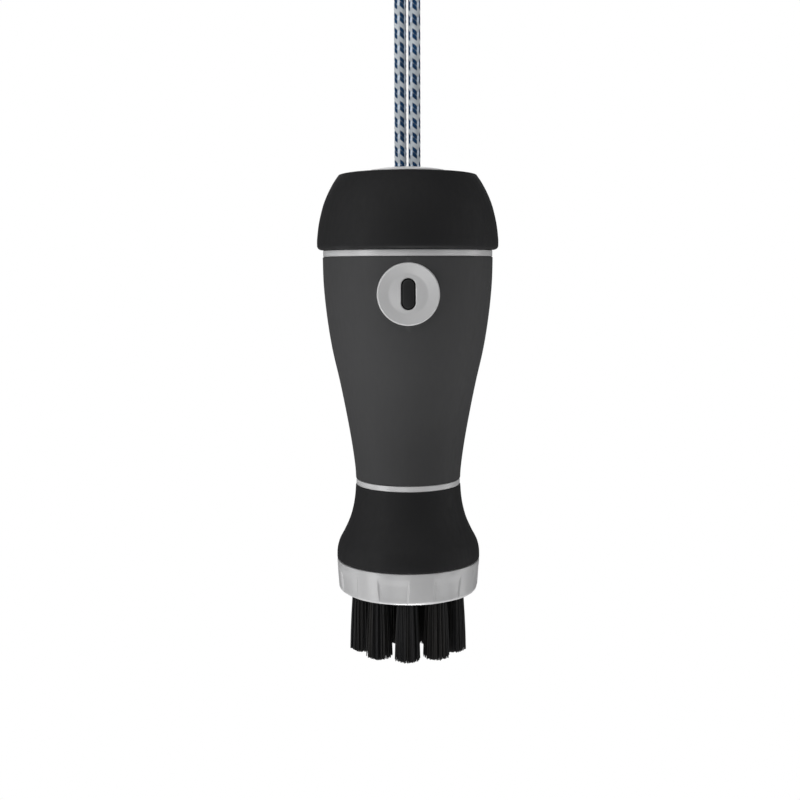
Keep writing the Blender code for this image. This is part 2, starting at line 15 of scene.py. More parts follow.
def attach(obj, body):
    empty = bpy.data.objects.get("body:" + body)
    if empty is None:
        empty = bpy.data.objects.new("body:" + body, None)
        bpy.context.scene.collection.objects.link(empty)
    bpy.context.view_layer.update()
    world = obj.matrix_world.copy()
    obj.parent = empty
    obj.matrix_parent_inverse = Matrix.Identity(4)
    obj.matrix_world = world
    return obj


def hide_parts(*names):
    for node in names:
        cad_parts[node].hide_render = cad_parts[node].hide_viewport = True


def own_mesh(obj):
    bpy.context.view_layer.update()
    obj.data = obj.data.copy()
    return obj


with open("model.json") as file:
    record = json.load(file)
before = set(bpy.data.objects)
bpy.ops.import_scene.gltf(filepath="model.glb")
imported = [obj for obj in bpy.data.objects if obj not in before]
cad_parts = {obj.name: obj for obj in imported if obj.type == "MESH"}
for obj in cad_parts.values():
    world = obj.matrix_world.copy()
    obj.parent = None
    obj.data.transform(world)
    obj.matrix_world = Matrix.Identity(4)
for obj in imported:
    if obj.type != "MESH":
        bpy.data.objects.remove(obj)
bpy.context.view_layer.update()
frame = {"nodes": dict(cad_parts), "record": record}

MM = 0.001
DATUM_DROP = 102.0  # from the hook's seat down to the datum just over the cap
RANDOM = np.random.default_rng(7)

# ------------------------------------------------------------ driving sizes, as in the CAD model
CAP_CURVE = [(16.0, 1.5), (16.85, 1.68), (17.2, 2.0), (18.5, 3.95), (19.96, 6.8), (21.04, 9.7), (21.96, 13.6),
             (22.41, 17.2), (22.45, 18.6)]
SLEEVE_CURVE = [(21.07, 21.65), (20.9, 28.3), (20.15, 36.2), (18.9, 44.3), (17.1, 52.4), (15.5, 60.5),
                (14.2, 68.0), (13.4, 74.0), (13.2, 77.1)]
COLLAR_CURVE = [(13.25, 78.6), (13.45, 81.4), (13.95, 84.5), (14.85, 87.6), (16.2, 90.6), (17.45, 93.0),
                (18.03, 95.2), (18.12, 97.35)]
DOME_CREST, DOME_RISE, DOME_RADIUS = 0.71, 0.79, 16.0
CAP_BOTTOM, CAP_BORE, CAP_HOLE, CAP_CEILING = 19.95, 18.9, 6.5, 2.9
GROMMET_RADIUS, GROMMET_CREST, GROMMET_EDGE, GROMMET_SEAT = 9.6, -0.3, 0.6, 1.15
GROMMET_SPIGOT, GROMMET_FOOT = 6.2, 3.5
NECK_RADIUS, NECK_BORE, NECK_RIM, NECK_CREST = 15.6, 13.6, 12.3, 16.8
NECK_PITCH, NECK_THREAD_DEPTH = 3.2, 19.8
SLEEVE_WALL, TANK_GAP, TANK_WALL, TANK_BOTTOM, TANK_FOOT = 1.5, 0.4, 1.5, 76.9, 11.0
TANK_SHOULDER = (19.1, 22.6)  # radius and depth
TANK_STATIONS = [24.5, 28.0, 32.0, 36.2, 40.2, 44.3, 48.0, 52.4, 56.5, 60.5, 66.0, 70.0, 74.5]
OUTLET_RADIUS, OUTLET_BORE, OUTLET_END = 5.0, 3.4, 88.0
TRIM_RADIUS, TRIM_TOP, TRIM_BOTTOM, TRIM_LIP = 20.97, 20.05, 21.6, 22.0
WAIST_RADIUS, WAIST_TOP, WAIST_BOTTOM = 13.1, 77.15, 78.55
BUTTON_DEPTH, PORT_RADIUS, PORT_RIM, PORT_FRONT, PORT_BACK = 30.4, 7.65, 7.42, -26.0, -11.0
BOSS_WALL, BOSS_FRONT, BOSS_BACK = 1.6, -20.5, -12.2
BEZEL_RADIUS, BEZEL_FACE, BEZEL_BACK, BEZEL_SKIRT, BEZEL_BORE = 7.33, -21.25, -19.9, -17.6, 6.2
DISH_RADIUS, DISH_DEPTH, DISH_MIDDLE, MIDDLE_DEPTH = 4.62, 0.55, 1.9, 0.2
SLOT_WIDTH, SLOT_HEIGHT, PILL_WIDTH, PILL_HEIGHT, PILL_FACE, PILL_DEEP = 3.4, 7.35, 2.8, 6.75, -21.0, 2.0
STEM_RADIUS = 1.2
SPRING_RADIUS, SPRING_WIRE, SPRING_TURNS, SPRING_FRONT, SPRING_BACK = 3.6, 0.3, 3.5, -17.9, -14.2
COLLAR_TOP, COLLAR_FOOT, COLLAR_BORE = 78.6, 97.5, 13.2
GRIP_RADIUS, GRIP_BORE, GRIP_TOP, GRIP_BOTTOM = 18.1, 16.2, 97.7, 105.65
GRIP_MIDDLE = (17.93, 101.5)  # radius and depth where the slight taper above turns into a steeper one
GRIP_TAPER_ABOVE, GRIP_TAPER_BELOW = 0.17 / 3.6, 0.23 / 3.0
RECESSES, RECESS_DEPTH, RECESS_TOP, RECESS_CENTRE = 8, 0.33, 98.8, -12.3
RECESS_HALF_TOP, RECESS_HALF_BOTTOM = 13.6, 11.9
SPIGOT_RADIUS, SPIGOT_END, SPIGOT_CREST = 14.9, 100.6, 15.9
HEAD_PITCH, HEAD_THREAD_DEPTH = 1.8, 100.0
PLATE_TOP, PLATE_FACE, PLATE_RADIUS, PLATE_STEP, PLATE_BOSS = 101.9, 105.0, 15.9, 103.7, 14.95
HOLE_RADIUS, HOLE_TOP, DRAIN_RADIUS, DRAIN_RING, DRAINS_FROM = 2.55, 102.7, 0.7, 7.9, -54.0
OUTER_TUFTS, OUTER_RING, OUTER_TIP, OUTER_TIP_RADIUS, OUTER_FILAMENTS = 10, 12.05, 121.4, 3.4, 190
INNER_TUFTS, INNER_RING, INNER_TIP, INNER_TIP_RADIUS, INNER_FILAMENTS = 5, 4.8, 120.1, 2.9, 140
TUFT_ROOT, TUFT_ROOT_RADIUS, FILAMENT_RADIUS = 103.0, 2.3, 0.165
TUFTS_FROM = -91.6  # degrees from +X to the first tuft: the head hasn't stopped quite square to the front
CORD_DIAMETER, STRAND_X, CORD_END, GAP = 3.0, 1.72, 3.8, 0.3
LOOP_RADIUS = 6.0  # of the cord over the hook
LOOP_NARROWS = 17.5  # height over which the strands come together below it
KNOT_DEPTH, KNOT_THICK, KNOT_REACH = 6.35, 1.05, (1.05, 0.74, 1.0)
HOOK_THICKNESS, HOOK_INNER, HOOK_OUTER, HOOK_SPAN, SEAT_HALF, HOOK_BEVEL = 3.6, 8.0, 12.0, 20.0, 2.5, 0.45
UPPER_CENTRE = -math.sqrt(HOOK_INNER**2 - SEAT_HALF**2)  # height of the centre of the hook's upper bow
LOWER_CENTRE = UPPER_CENTRE - HOOK_SPAN
NOSE_Z, TAIL_Z, LIP_WALL, LIP_DROP = -9.9, -24.6, 0.9, 2.0
GATE_Y, GATE_TOP, GATE_BEND, GATE_END = -10.0, 11.2, 1.1, 0.45
PIVOT_DEPTH, PIVOT_PLAY, WIRE_RADIUS = 28.4, 0.25, 0.8


def height(depth):
    """World Z in metres of a depth in millimetres."""
    return -(DATUM_DROP + depth) * MM


# ------------------------------------------------------------ camera
CAMERA_DISTANCE, CAMERA_DEPTH, CAMERA_SIDE = 0.288, 24.6, -0.00201
CAMERA_PITCH, CAMERA_ROLL = 6.5, -0.17  # degrees
FOCAL_SHARE = 1150 / 800  # focal length as a share of the picture's width


def make_camera():
    data = bpy.data.cameras.new("camera")
    data.sensor_width = 36.0
    data.lens = FOCAL_SHARE * data.sensor_width
    camera = bpy.data.objects.new("camera", data)
    bpy.context.scene.collection.objects.link(camera)
    place_at = Matrix.Translation((CAMERA_SIDE, -CAMERA_DISTANCE, height(CAMERA_DEPTH)))
    pitch, roll = math.radians(90 - CAMERA_PITCH), math.radians(CAMERA_ROLL)
    camera.matrix_world = place_at @ Matrix.Rotation(pitch, 4, "X") @ Matrix.Rotation(roll, 4, "Z")
    bpy.context.scene.camera = camera


make_camera()


# ------------------------------------------------------------ mesh helpers

def catmull(points, per_span=6):
    """Smooth curve through points of any dimension."""
    points = [np.array(p, float) for p in points]
    ends = [points[0], *points, points[-1]]
    curve = [points[0]]
    for a, b, c, d in zip(ends, ends[1:], ends[2:], ends[3:]):
        for step in range(1, per_span + 1):
            t = step / per_span
            curve.append(0.5 * (2 * b + (c - a) * t + (2 * a - 5 * b + 4 * c - d) * t**2
                                + (3 * b - a - 3 * c + d) * t**3))
    return [tuple(p) for p in curve]


def arc(centre, radius, start, end, steps=6):
    """Points of an arc, angles in degrees from the first axis towards the second."""
    angles = np.radians(np.linspace(start, end, steps + 1))
    return [(centre[0] + radius * math.cos(a), centre[1] + radius * math.sin(a)) for a in angles]


def smoothstep(value, low, high):
    t = np.clip((value - low) / (high - low), 0.0, 1.0)
    return t * t * (3 - 2 * t)


def radius_at(curve, depth):
    radii, depths = zip(*curve)
    return float(np.interp(depth, depths, radii))


def mesh_object(name, vertices, faces, sharp=38.0):
    mesh = bpy.data.meshes.new(name)
    mesh.from_pydata([tuple(v) for v in vertices], [], faces)
    mesh.validate()
    bm = bmesh.new()
    bm.from_mesh(mesh)
    bmesh.ops.recalc_face_normals(bm, faces=bm.faces)
    bm.to_mesh(mesh)
    bm.free()
    obj = bpy.data.objects.new(name, mesh)
    bpy.context.scene.collection.objects.link(obj)
    shade(obj, sharp)
    return obj


def shade(obj, sharp=38.0):
    obj.data.shade_smooth()
    obj.data.set_sharp_from_angle(angle=math.radians(sharp))


def ring_grid(columns):
    """Quads of a grid whose columns join round; each column holds the same number of points."""
    count, length = len(columns), len(columns[0])
    vertices = [point for column in columns for point in column]
    faces = []
    for i in range(count):
        j = (i + 1) % count
        for k in range(length):
            m = (k + 1) % length
            faces.append((i * length + k, i * length + m, j * length + m, j * length + k))
    return vertices, faces


def open_strip(name, columns, sharp=38.0):
    """A solid through closed cuts, one column of points for each, with a face over either end."""
    size = len(columns[0])
    vertices, faces = ring_grid(columns)
    faces = [face for face in faces if max(face) - min(face) < 2 * size]
    last = len(vertices) - size
    faces += [tuple(range(size)), tuple(range(last, last + size))]
    return mesh_object(name, vertices, faces, sharp)


def section_ring(name, angles, section, across=False, sharp=38.0):
    """A ring-shaped piece. section(angle) gives its closed cut there, as (radius, depth) about the handle's
    axis or, across, as (radius, y) about the button's axis, where angle 0 points to +X and 90 degrees up."""
    columns = []
    for angle in angles:
        cos, sin = math.cos(angle), math.sin(angle)
        if across:
            middle = height(BUTTON_DEPTH)
            columns.append([(r * MM * cos, y * MM, middle + r * MM * sin) for r, y in section(angle)])
        else:
            columns.append([(r * MM * cos, r * MM * sin, height(d)) for r, d in section(angle)])
    return mesh_object(name, *ring_grid(columns), sharp)


def turned(name, outline, sides=144, across=False):
    angles = np.linspace(0, 2 * math.pi, sides, endpoint=False)
    return section_ring(name, angles, lambda angle: outline, across)


def solid_turned(name, outline, sides=96, across=False):
    """A turned piece whose outline starts and ends on the axis."""
    obj = turned(name, outline, sides, across)
    bm = bmesh.new()
    bm.from_mesh(obj.data)
    bmesh.ops.remove_doubles(bm, verts=bm.verts, dist=1e-7)
    inner = [e for e in bm.edges if not e.link_faces or len(e.link_faces) > 2]
    bmesh.ops.delete(bm, geom=inner, context="EDGES")
    bmesh.ops.recalc_face_normals(bm, faces=bm.faces)
    bm.to_mesh(obj.data)
    bm.free()
    shade(obj)
    return obj


def prism(name, outline, offset):
    """A flat outline of world points, pushed along an offset."""
    count = len(outline)
    vertices = [Vector(p) for p in outline] + [Vector(p) + Vector(offset) for p in outline]
    faces = [tuple(range(count)), tuple(range(count, 2 * count))]
    faces += [(i, (i + 1) % count, count + (i + 1) % count, count + i) for i in range(count)]
    return mesh_object(name, vertices, faces)


def settle(obj):
    """Replaces an object's mesh by its evaluated one, with the modifiers applied."""
    bpy.context.view_layer.update()
    graph = bpy.context.evaluated_depsgraph_get()
    mesh = bpy.data.meshes.new_from_object(obj.evaluated_get(graph))
    old = obj.data
    obj.modifiers.clear()
    obj.data = mesh
    bpy.data.meshes.remove(old)
    mesh.name = obj.name


def combine(obj, other, operation):
    modifier = obj.modifiers.new("Boolean", "BOOLEAN")
    modifier.operation = operation
    modifier.solver = "EXACT"
    modifier.object = other
    settle(obj)
    bpy.data.objects.remove(other, do_unlink=True)
    shade(obj)


def bevelled(obj, width, segments=3, angle=40):
    modifier = obj.modifiers.new("Bevel", "BEVEL")
    modifier.width = width * MM
    modifier.segments = segments
    modifier.limit_method = "ANGLE"
    modifier.angle_limit = math.radians(angle)
    settle(obj)
    shade(obj)


def cylinder(name, radius, start, end, centre=(0.0, 0.0), sides=48):
    """A plain cylinder along the handle's axis, between two depths."""
    angles = np.linspace(0, 2 * math.pi, sides, endpoint=False)
    outline = [((centre[0] + radius * math.cos(a)) * MM, (centre[1] + radius * math.sin(a)) * MM,
                height(start)) for a in angles]
    return prism(name, outline, (0, 0, height(end) - height(start)))


def stadium(width, length):
    """Points of a pill shape, round ends up and down, as (across, along)."""
    radius, straight = width / 2, (length - width) / 2
    top = arc((0.0, straight), radius, 0, 180, 16)
    return top + [(-x, -y) for x, y in top]


def stadium_radius(width, length, angle):
    """Distance from the centre to a pill shape's edge, along an angle from the across axis."""
    radius, straight = width / 2, (length - width) / 2
    cos, sin = abs(math.cos(angle)), abs(math.sin(angle))
    if cos > 1e-9 and radius / cos * sin <= straight:
        return radius / cos
    return straight * sin + math.sqrt(radius**2 - (straight * cos)**2)


def helix_ridge(name, root, crest, depth, pitch, first, last, base_width, crest_width):
    """A right-hand thread ridge from root to crest radius, tapering away at both ends."""
    per_turn, taper = 96, 16
    steps = round(per_turn * (last - first))
    columns = []
    for i in range(steps + 1):
        turn = first + (last - first) * i / steps
        angle = 2 * math.pi * turn
        outer = root + (crest - root) * min(1.0, (i + 1) / taper, (steps - i + 1) / taper)
        middle = depth - pitch * turn
        corners = [(root, base_width), (outer, crest_width), (outer, -crest_width), (root, -base_width)]
        columns.append([(r * MM * math.cos(angle), r * MM * math.sin(angle), height(middle + width / 2))
                        for r, width in corners])
    return open_strip(name, columns)


def around(count, radius, first=-90.0):
    """Places on a circle, the first at an angle in degrees from +X; -90 is the front."""
    angles = np.radians(first + 360 * np.arange(count) / count)
    return [(radius * math.cos(a), radius * math.sin(a)) for a in angles]


# ------------------------------------------------------------ materials

class Nodes:
    """Short names for building one material's node tree."""

    def __init__(self, name):
        self.material = bpy.data.materials.new(name)
        self.material.use_nodes = True
        self.tree = self.material.node_tree
        self.shader = self.tree.nodes["Principled BSDF"]
        self.place = self.add("ShaderNodeTexCoord").outputs["Object"]

    def add(self, kind, **settings):
        node = self.tree.nodes.new(kind)
        for key, value in settings.items():
            setattr(node, key, value)
        return node

    def put(self, socket, value):
        if isinstance(value, bpy.types.NodeSocket):
            self.tree.links.new(value, socket)
        else:
            socket.default_value = value

    def math(self, operation, a, b=None, c=None):
        node = self.add("ShaderNodeMath", operation=operation)
        for socket, value in zip(node.inputs, (a, b, c)):
            if value is not None:
                self.put(socket, value)
        return node.outputs[0]

    def stretched(self, scale):
        node = self.add("ShaderNodeMapping")
        self.put(node.inputs["Vector"], self.place)
        node.inputs["Scale"].default_value = scale
        return node.outputs[0]

    def noise(self, scale, detail=3.0, roughness=0.55, vector=None):
        node = self.add("ShaderNodeTexNoise")
        self.put(node.inputs["Vector"], self.place if vector is None else vector)
        node.inputs["Scale"].default_value = scale
        node.inputs["Detail"].default_value = detail
        node.inputs["Roughness"].default_value = roughness
        return node.outputs["Fac"]

    def between(self, value, low, high, from_low=0.0, from_high=1.0):
        node = self.add("ShaderNodeMapRange")
        self.put(node.inputs["Value"], value)
        node.inputs["From Min"].default_value = from_low
        node.inputs["From Max"].default_value = from_high
        node.inputs["To Min"].default_value = low
        node.inputs["To Max"].default_value = high
        return node.outputs[0]

    def mix(self, factor, first, second):
        node = self.add("ShaderNodeMix", data_type="RGBA")
        self.put(node.inputs[0], factor)
        for socket, colour in zip((node.inputs[6], node.inputs[7]), (first, second)):
            self.put(socket, colour if isinstance(colour, bpy.types.NodeSocket) else (*colour, 1.0))
        return node.outputs[2]

    def bump(self, value, strength, distance, under=None):
        node = self.add("ShaderNodeBump")
        self.put(node.inputs["Height"], value)
        node.inputs["Strength"].default_value = strength
        node.inputs["Distance"].default_value = distance
        if under is not None:
            self.put(node.inputs["Normal"], under)
        return node.outputs[0]

    def set(self, **values):
        for key, value in values.items():
            self.put(self.shader.inputs[key.replace("_", " ")], value)
        return self.material


def tint(colour, factor):
    return tuple(min(1.0, c * factor) for c in colour)


def moulded(name, colour, roughness, *, grain, spread, specular, grain_scale=5200.0, wear=0.0, scuff=0.07):
    """Moulded plastic: fine spark-eroded grain, slow tone drift, faint scuffs and lighter worn edges."""
    n = Nodes(name)
    drift = n.noise(55.0, 4.0)
    scuffs = n.noise(900.0, 5.0, 0.7, n.stretched((1.0, 1.0, 0.22)))
    grainy = n.noise(grain_scale, 2.0, 0.5)
    base = n.mix(n.between(drift, 0.0, 1.0, 0.3, 0.7), tint(colour, 1 - spread), tint(colour, 1 + spread))
    if wear:
        edges = n.between(n.add("ShaderNodeNewGeometry").outputs["Pointiness"], 0.0, wear, 0.52, 0.62)
        base = n.mix(edges, base, tint(colour, 2.2))
    rough = n.math("ADD", n.between(scuffs, -scuff, scuff, 0.3, 0.7), roughness)
    normal = n.bump(scuffs, scuff / 2, 0.0002, n.bump(grainy, grain, 0.0001))
    return n.set(Base_Color=base, Roughness=rough, Normal=normal, Specular_IOR_Level=specular)


def rubber(name, colour):
    n = Nodes(name)
    dust = n.noise(260.0, 5.0, 0.65)
    pores = n.noise(3800.0, 2.0)
    base = n.mix(n.between(dust, 0.0, 1.0, 0.45, 0.75), colour, tint(colour, 1.7))
    return n.set(Base_Color=base, Roughness=n.between(dust, 0.62, 0.82),
                 Normal=n.bump(pores, 0.12, 0.0001))


def translucent(name, colour):
    """Natural polypropylene: milky, with flow lines from moulding."""
    n = Nodes(name)
    flow = n.noise(120.0, 4.0, 0.6, n.stretched((1.0, 1.0, 0.25)))
    base = n.mix(flow, tint(colour, 0.9), tint(colour, 1.08))
    n.shader.inputs["Subsurface Weight"].default_value = 0.35
    n.shader.inputs["Subsurface Scale"].default_value = 0.002
    return n.set(Base_Color=base, Roughness=n.between(flow, 0.28, 0.42),
                 Normal=n.bump(flow, 0.05, 0.0003))


def metal(name, colour, roughness, along):
    """Brushed or drawn metal with fine marks that run along one axis."""
    n = Nodes(name)
    marks = n.noise(6000.0, 3.0, 0.6, n.stretched(along))
    blotch = n.noise(180.0, 3.0)
    base = n.mix(blotch, tint(colour, 0.88), tint(colour, 1.06))
    rough = n.math("ADD", n.between(marks, -0.06, 0.1, 0.3, 0.7), roughness)
    n.shader.inputs["Metallic"].default_value = 1.0
    return n.set(Base_Color=base, Roughness=rough, Normal=n.bump(marks, 0.06, 0.00005))


def nylon(name):
    """Black filament: tone changes from one filament to the next and along its length."""
    n = Nodes(name)
    streaks = n.noise(1500.0, 2.0, 0.5, n.stretched((1.0, 1.0, 0.03)))
    warm = n.noise(420.0, 2.0, 0.5, n.stretched((1.0, 1.0, 0.05)))
    cold, brown = (0.0050, 0.0054, 0.0064), (0.0085, 0.0078, 0.0068)
    base = n.mix(n.between(warm, 0.0, 1.0, 0.4, 0.6), cold, brown)
    base = n.mix(n.between(streaks, 0.0, 0.65, 0.45, 0.72), base, (0.016, 0.016, 0.017))
    return n.set(Base_Color=base, Roughness=n.between(streaks, 0.42, 0.62),
                 Normal=n.bump(streaks, 0.15, 0.0001), Specular_IOR_Level=0.25)


# The braid: pairs of columns of stitches round the cord, which slant one way and the other by turns. In the
# first kind two stitches out of three are dark blue, and in the second kind one out of three is pale.
BRAID_COLUMNS = 5  # pairs
BRAID_STITCH = 3.516 / 3  # mm along the cord
BRAID_SLANT = -1.1  # stitches that one slants over a cell's width
BRAID_SHARE = 0.33  # half the share of a cell that the first kind of column takes
BRAID_OVERLAP = 0.03  # half the share of a cell over which one kind of column passes into the other
BRAID_TURNS = (-20.5, 3.0)  # degrees that the columns are turned from the front, on the left and right
BRAID_SHIFTS = (0.3, 0.62)  # stitches along each strand
BRAID_CHANGE = 16.0  # mm either side of the loop's middle over which the left values become the right ones
CORD_RELIEF, CORD_SIDES, CORD_STEP = 0.13, 72, 0.19


def braid_material():
    n = Nodes("braided_cord")
    uv = n.add("ShaderNodeUVMap", uv_map="braid")
    split = n.add("ShaderNodeSeparateXYZ")
    n.put(split.inputs[0], uv.outputs[0])
    cell = n.math("SUBTRACT", n.math("FRACT", split.outputs[0]), 0.5)
    other_cell = n.math("SUBTRACT", n.math("FRACT", n.math("ADD", split.outputs[0], 0.5)), 0.5)
    along = split.outputs[1]
    first = n.math("MULTIPLY_ADD", cell, BRAID_SLANT, along)
    second = n.math("MULTIPLY_ADD", other_cell, -BRAID_SLANT, n.math("ADD", along, 0.5))
    distance = n.math("ABSOLUTE", cell)
    is_first = n.between(distance, 1.0, 0.0, BRAID_SHARE - BRAID_OVERLAP, BRAID_SHARE + BRAID_OVERLAP)
    is_blue = n.math("LESS_THAN", n.math("FLOORED_MODULO", first, 3.0), 2.0)
    from_middle = n.math("ABSOLUTE", n.math("SUBTRACT", n.math("FRACT", first), 0.5))
    seam = n.between(from_middle, 0.0, 1.0, 0.36, 0.5)
    notch = n.math("MULTIPLY", seam, n.between(distance, 0.15, 1.0, 0.08, 0.26))
    blue = n.math("MULTIPLY", n.math("MULTIPLY", is_first, is_blue), n.math("SUBTRACT", 1.0, notch))
    is_pale = n.math("COMPARE", n.math("FLOORED_MODULO", second, 3.0), 1.5, 0.5)
    fibres = n.noise(5200.0, 3.0, 0.6)
    tone = n.noise(300.0, 3.0)
    grey = n.mix(n.between(tone, 0.0, 1.0, 0.35, 0.65), (0.44, 0.48, 0.52), (0.60, 0.64, 0.68))
    navy = n.mix(n.between(tone, 0.0, 1.0, 0.35, 0.65), (0.002, 0.026, 0.078), (0.003, 0.043, 0.125))
    pale = n.mix(n.math("MULTIPLY", is_pale, n.math("SUBTRACT", 1.0, is_first)), grey, (0.68, 0.77, 0.88))
    base = n.mix(blue, pale, navy)
    base = n.mix(n.between(fibres, 0.0, 0.08, 0.5, 0.8), base, (0.62, 0.66, 0.70))
    return n.set(Base_Color=base, Roughness=n.between(fibres, 0.7, 0.9),
                 Normal=n.bump(fibres, 0.35, 0.00006), Specular_IOR_Level=0.15)


CAP_COLOUR, SLEEVE_COLOUR = (0.0153, 0.0153, 0.0161), (0.0512, 0.0512, 0.0526)
# The band colour is the same light grey plastic as the trim, made lighter: painted light that makes up for
# the shade the cap casts on the upper ring, given to the waist band too.
TRIM_COLOUR, BEZEL_COLOUR, BAND_COLOUR_WITH_PAINTED_LIGHT = (0.522, 0.522, 0.527), (0.58, 0.58, 0.585), (0.62, 0.62, 0.625)
DARK_COLOUR, INSERT_COLOUR = (0.014, 0.014, 0.015), (0.84, 0.84, 0.845)
SATIN = {"grain": 0.03, "spread": 0.03, "specular": 0.8, "scuff": 0.008}

MATERIALS = {
    "cap_black": moulded("soft_black", CAP_COLOUR, 0.60, grain=0.10, grain_scale=4200.0, spread=0.06,
                         specular=0.15, wear=0.35),
    "sleeve_grey": moulded("soft_grey", SLEEVE_COLOUR, 0.62, grain=0.10, grain_scale=4200.0, spread=0.04,
                           specular=0.2, wear=0.25),
    "trim_grey": moulded("light_grey_plastic", TRIM_COLOUR, 0.28, **SATIN),
    "bezel_grey": moulded("light_grey_bezel", BEZEL_COLOUR, 0.28, **SATIN),
    "band_grey_painted_light": moulded("light_grey_band", BAND_COLOUR_WITH_PAINTED_LIGHT, 0.28, **SATIN),
    "insert_pale": moulded("pale_insert", INSERT_COLOUR, 0.4, grain=0.03, spread=0.03, specular=0.5,
                           scuff=0.02),
    "button_dark": moulded("dark_button_plastic", DARK_COLOUR, 0.45, grain=0.06, spread=0.10, specular=0.3,
                           wear=0.3),
    "bristle": nylon("black_nylon"),
    "cord": braid_material(),
    "tank_clear": translucent("natural_polypropylene", (0.62, 0.66, 0.68)),
    "seal_rubber": rubber("black_seal_rubber", (0.025, 0.025, 0.026)),
    "silicone": rubber("milky_silicone", (0.55, 0.57, 0.57)),
    "steel": metal("drawn_steel", (0.55, 0.55, 0.57), 0.28, (1.0, 1.0, 0.06)),
    "hook_metal": metal("satin_aluminium", (0.62, 0.63, 0.65), 0.34, (1.0, 0.5, 0.06)),
}
SLOT_OF_NODE = {part["node"]: part["material_slot"] for part in frame["record"]["subparts"]}


def place(piece, node, finish=None):
    """Puts a finished piece in the object: it replaces this CAD node, and takes its body, slot and, unless a
    finish is given, its finish."""
    slot = SLOT_OF_NODE[node]
    bodies = frame["record"]["behaviour"]["bodies"]
    body = next(name for name, members in bodies.items() if node in members)
    piece.data.materials.clear()
    piece.data.materials.append(MATERIALS[finish or slot])
    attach(piece, body)
    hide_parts(node)
    return piece


# ------------------------------------------------------------ cord

def cord_route():
    """The doubled cord's points: up from the knot, over the hook's lower bow and down again."""
    crest = LOWER_CENTRE - HOOK_INNER + GAP + CORD_DIAMETER / 2
    middle = crest - LOOP_RADIUS
    parallel = middle - LOOP_NARROWS  # the strands run side by side below this height
    end = -(DATUM_DROP + CORD_END)
    side = [(-STRAND_X, end + (parallel - end) * i / 8) for i in range(8)]
    for t in np.linspace(0, 1, 9):
        ease = smoothstep(t, 0.0, 1.0)
        side.append((-STRAND_X - (LOOP_RADIUS - STRAND_X) * ease, parallel + (middle - parallel) * t))
    for i in range(1, 7):
        a = math.radians(15 * i)
        side.append((-LOOP_RADIUS * math.cos(a), middle + LOOP_RADIUS * math.sin(a)))
    other = [(-x, z) for x, z in reversed(side[:-1])]
    return [(x * MM, 0.0, z * MM) for x, z in side + other]


def resample(points, step):
    """Points spaced evenly along a path, and the distance of each from its start."""
    points = np.array(points)
    lengths = np.r_[0.0, np.cumsum(np.linalg.norm(np.diff(points, axis=0), axis=1))]
    count = int(round(lengths[-1] / step))
    at = np.linspace(0.0, lengths[-1], count + 1)
    return np.stack([np.interp(at, lengths, points[:, k]) for k in range(3)], axis=1), at


def braid_relief(across, along):
    """How far a stitch stands out of the cord, from 0 to 1. across counts cells, along counts stitches."""
    cell = across % 1.0 - 0.5
    first = (along + BRAID_SLANT * cell) % 1.0 - 0.5
    other_cell = (across + 0.5) % 1.0 - 0.5
    second = (along + 0.5 - BRAID_SLANT * other_cell) % 1.0 - 0.5
    crown_first = np.clip(1 - (np.abs(cell) / (BRAID_SHARE + BRAID_OVERLAP))**2.4, 0, 1)
    crown_second = np.clip(1 - (np.abs(other_cell) / (0.5 - BRAID_SHARE + BRAID_OVERLAP))**2.4, 0, 1)
    return np.maximum(crown_first * (1 - (np.abs(first) / 0.5)**2.6),
                      crown_second * (1 - (np.abs(second) / 0.5)**2.6))


def make_cord():
    """The braided loop, with its stitches standing out, its route and its length in metres."""
    route = catmull(cord_route(), 6)
    centres, at = resample(route, CORD_STEP * MM)
    tangents = np.gradient(centres, axis=0)
    tangents /= np.linalg.norm(tangents, axis=1)[:, None]
    out = np.array([0.0, 1.0, 0.0])
    normals = np.cross(tangents, out)
    total = at[-1] / MM
    share = smoothstep(at / MM, total / 2 - BRAID_CHANGE, total / 2 + BRAID_CHANGE)  # 0 left, 1 right
    turn = np.radians(BRAID_TURNS[0] + (BRAID_TURNS[1] - BRAID_TURNS[0]) * share)
    along = at / MM / BRAID_STITCH + BRAID_SHIFTS[0] + (BRAID_SHIFTS[1] - BRAID_SHIFTS[0]) * share
    angles = np.linspace(0, 2 * math.pi, CORD_SIDES, endpoint=False)
    across = (angles[None, :] + math.pi / 2 - turn[:, None]) / (2 * math.pi) * BRAID_COLUMNS + 0.5
    sunk = CORD_RELIEF * (1 - braid_relief(across, along[:, None]))
    radius = (CORD_DIAMETER / 2 - sunk) * MM
    spokes = np.cos(angles)[None, :, None] * normals[:, None, :] + np.sin(angles)[None, :, None] * out
    cord = open_strip("braided_loop", centres[:, None, :] + radius[:, :, None] * spokes, 180)
    mesh = cord.data
    layer = mesh.uv_layers.new(name="braid")
    for face in mesh.polygons:
        on_seam = len(face.vertices) == 4 and any(v % CORD_SIDES == CORD_SIDES - 1 for v in face.vertices)
        for loop in face.loop_indices:
            ring, column = divmod(mesh.loops[loop].vertex_index, CORD_SIDES)
            past_seam = BRAID_COLUMNS if on_seam and column == 0 else 0
            layer.data[loop].uv = (across[ring, column] + past_seam, along[ring])
    place(cord, "cord_loop")
    return cord, route, total * MM


cord, cord_path, cord_length = make_cord()


# ------------------------------------------------------------ hook, gate and knot

